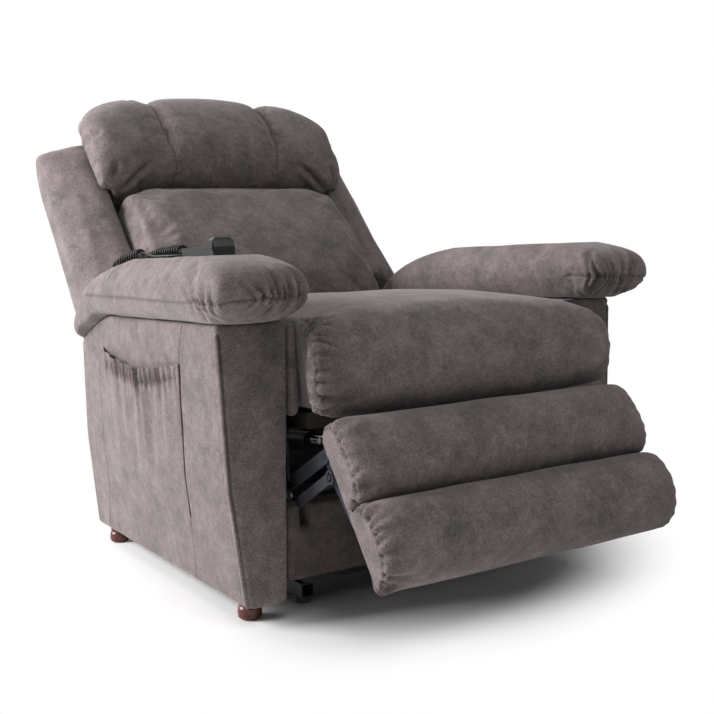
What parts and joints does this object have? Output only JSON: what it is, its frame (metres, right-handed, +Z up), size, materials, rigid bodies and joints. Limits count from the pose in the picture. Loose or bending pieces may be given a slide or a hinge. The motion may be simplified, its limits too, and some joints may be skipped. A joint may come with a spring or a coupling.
{
  "type": "lift recliner chair",
  "caption": "Upholstered lift recliner chair with a reclining winged back, a rising padded leg rest, a steel lift base and a wired handset on the arm.",
  "frame": {"origin": "on the floor under the middle of the chair's bounding box", "axes": "+Z up, the chair faces -Y, the sitter's right side is at -X"},
  "size_m": [0.942, 1.4549, 1.0304],
  "materials": {
    "fabric_arm": "mottled taupe-grey microfibre",
    "fabric_pad": "mottled taupe-grey microfibre, gathered at the front",
    "fabric_seat": "mottled taupe-grey microfibre over a soft filling",
    "fabric_rail": "taupe-grey microfibre over a board",
    "back_cover": "taupe-grey microfibre panel",
    "webbing": "woven elastic webbing",
    "frame_steel": "satin black paint",
    "link_steel": "satin dark grey paint",
    "leg_plate": "satin blue-grey paint",
    "bright_steel": "bright plated steel",
    "drive_plastic": "moulded black plastic",
    "bracket_black": "satin black paint",
    "wood_board": "plain plywood and pine",
    "wood_foot": "dark red-brown lacquer",
    "glide_rubber": "moulded rubber",
    "handset_gloss": "glossy black",
    "handset_shell": "fine-grained black",
    "button": "dark grey, bare",
    "cord": "smooth black jacket"
  },
  "bodies": {
    "base": {"base_frame": "frame_steel", "base_glides": "glide_rubber"},
    "chair": {"side_plates": "frame_steel", "lift_brackets": "frame_steel", "cross_tubes": "frame_steel", "frame_pins": "bright_steel", "arm_bolts": "bright_steel", "seat_deck": "wood_board", "seat_springs": "bright_steel", "seat_cushion": "fabric_seat", "front_rail": "fabric_rail", "rail_brackets": "bracket_black", "rail_bolts": "bright_steel", "rear_rail": "fabric_rail", "arm_right": "fabric_arm", "arm_left": "fabric_arm", "arm_pad_right": "fabric_pad", "arm_pad_left": "fabric_pad", "inner_pad_right": "fabric_arm", "inner_pad_left": "fabric_arm", "side_pocket": "fabric_arm", "wooden_feet": "wood_foot", "control_box": "drive_plastic", "power_inlet": "drive_plastic", "handset_body": "handset_shell", "handset_cover": "handset_gloss", "handset_gland": "handset_gloss", "handset_cord": "cord", "cord_lead": "cord", "cord_outlet": "handset_gloss"},
    "lift_arm": {"lift_arms": "link_steel"},
    "lift_link": {"lift_links": "link_steel"},
    "lift_motor": {"lift_motor": "drive_plastic"},
    "lift_rod": {"lift_rod": "bright_steel"},
    "rear_link": {"rear_links": "link_steel"},
    "guide_link": {"guide_links": "link_steel"},
    "front_link": {"front_links": "link_steel"},
    "control_link": {"control_links": "link_steel"},
    "leg_rest": {"leg_board": "wood_board", "leg_brackets": "leg_plate", "leg_roll_upper": "fabric_seat", "leg_roll_lower": "fabric_seat"},
    "leg_motor": {"leg_motor": "drive_plastic"},
    "leg_rod": {"leg_rod": "bright_steel"},
    "back": {"back_frame": "wood_board", "back_brackets": "frame_steel", "back_webbing": "webbing", "back_shell": "back_cover", "lumbar_cushion": "fabric_seat", "head_cushion": "fabric_seat", "wing_right": "fabric_arm", "wing_left": "fabric_arm"},
    "back_motor": {"back_motor": "drive_plastic"},
    "back_rod": {"back_rod": "bright_steel"},
    "button_back": {"button_back": "button"},
    "button_legs": {"button_legs": "button"},
    "button_rise": {"button_rise": "button"},
    "button_lower": {"button_lower": "button"}
  },
  "joints": [
    {"name": "lift", "type": "hinge", "parent": "base", "child": "lift_arm", "pos_m": [0, -0.3237, 0.128], "axis": [1, 0, 0], "range_deg": [0, 52]},
    {"name": "lift_tilt", "type": "hinge", "parent": "lift_arm", "child": "chair", "pos_m": [0, 0.0243, 0.132], "axis": [1, 0, 0], "range_deg": [-24.45, 0.05]},
    {"name": "lift_second", "type": "hinge", "parent": "base", "child": "lift_link", "pos_m": [0, -0.2857, 0.152], "axis": [1, 0, 0], "range_deg": [-0.05, 47.26]},
    {"name": "lift_drive_tilt", "type": "hinge", "parent": "base", "child": "lift_motor", "pos_m": [0, 0.1223, 0.062], "axis": [1, 0, 0], "range_deg": [-0.05, 5.41]},
    {"name": "lift_drive", "type": "slide", "parent": "lift_motor", "child": "lift_rod", "axis": [0, -0.9512, 0.3086], "range_m": [-0.0001, 0.05516]},
    {"name": "leg_open", "type": "hinge", "parent": "chair", "child": "rear_link", "pos_m": [0, -0.2207, 0.312], "axis": [1, 0, 0], "range_deg": [-41.34, 27.3]},
    {"name": "leg_guide", "type": "hinge", "parent": "chair", "child": "guide_link", "pos_m": [0, -0.2232, 0.2705], "axis": [1, 0, 0], "range_deg": [-45.46, 30.04]},
    {"name": "leg_knee", "type": "hinge", "parent": "rear_link", "child": "front_link", "pos_m": [0, -0.2607, 0.173], "axis": [1, 0, 0], "range_deg": [-37.53, 56.81]},
    {"name": "leg_control", "type": "hinge", "parent": "rear_link", "child": "control_link", "pos_m": [0, -0.2897, 0.1375], "axis": [1, 0, 0], "range_deg": [-37.89, 57.35]},
    {"name": "leg_board_turn", "type": "hinge", "parent": "front_link", "child": "leg_rest", "pos_m": [0, -0.4917, 0.293], "axis": [1, 0, 0], "range_deg": [-68.7, 45.38]},
    {"name": "leg_drive_tilt", "type": "hinge", "parent": "chair", "child": "leg_motor", "pos_m": [0, 0.0523, 0.24], "axis": [1, 0, 0], "range_deg": [-1.25, 0.84]},
    {"name": "leg_drive", "type": "slide", "parent": "leg_motor", "child": "leg_rod", "axis": [0, -0.9969, 0.0781], "range_m": [-0.02293, 0.03468]},
    {"name": "recline", "type": "hinge", "parent": "chair", "child": "back", "pos_m": [0, 0.2023, 0.45], "axis": [1, 0, 0], "range_deg": [-14, 26]},
    {"name": "back_drive_tilt", "type": "hinge", "parent": "chair", "child": "back_motor", "pos_m": [0, -0.0977, 0.25], "axis": [1, 0, 0], "range_deg": [-0.56, 0.99]},
    {"name": "back_drive", "type": "slide", "parent": "back_motor", "child": "back_rod", "axis": [0, 0.977, 0.2132], "range_m": [-0.03206, 0.05945]},
    {"name": "press_back", "type": "slide", "parent": "chair", "child": "button_back", "axis": [0, 0, -1], "range_m": [0, 0.0015], "stiffness_N_per_m": 800},
    {"name": "press_legs", "type": "slide", "parent": "chair", "child": "button_legs", "axis": [0, 0, -1], "range_m": [0, 0.0015], "stiffness_N_per_m": 800},
    {"name": "press_rise", "type": "slide", "parent": "chair", "child": "button_rise", "axis": [0, 0, -1], "range_m": [0, 0.0015], "stiffness_N_per_m": 800},
    {"name": "press_lower", "type": "slide", "parent": "chair", "child": "button_lower", "axis": [0, 0, -1], "range_m": [0, 0.0015], "stiffness_N_per_m": 800}
  ],
  "couplings": [
    {"joint": "lift_tilt", "follows": "lift", "ratio": -0.46},
    {"joint": "lift_second", "follows": "lift", "ratio": 0.89},
    {"joint": "lift_drive_tilt", "follows": "lift", "ratio": 0.101},
    {"joint": "lift_drive", "follows": "lift", "m_per_rad": 0.059473},
    {"joint": "leg_guide", "follows": "leg_open", "ratio": 1.077},
    {"joint": "leg_knee", "follows": "leg_open", "ratio": -1.346},
    {"joint": "leg_control", "follows": "leg_open", "ratio": -1.359},
    {"joint": "leg_board_turn", "follows": "leg_open", "ratio": 1.628},
    {"joint": "leg_drive_tilt", "follows": "leg_open", "ratio": 0.0285},
    {"joint": "leg_drive", "follows": "leg_open", "m_per_rad": -0.046983},
    {"joint": "back_drive_tilt", "follows": "recline", "ratio": 0.0355},
    {"joint": "back_drive", "follows": "recline", "m_per_rad": 0.12823}
  ]
}
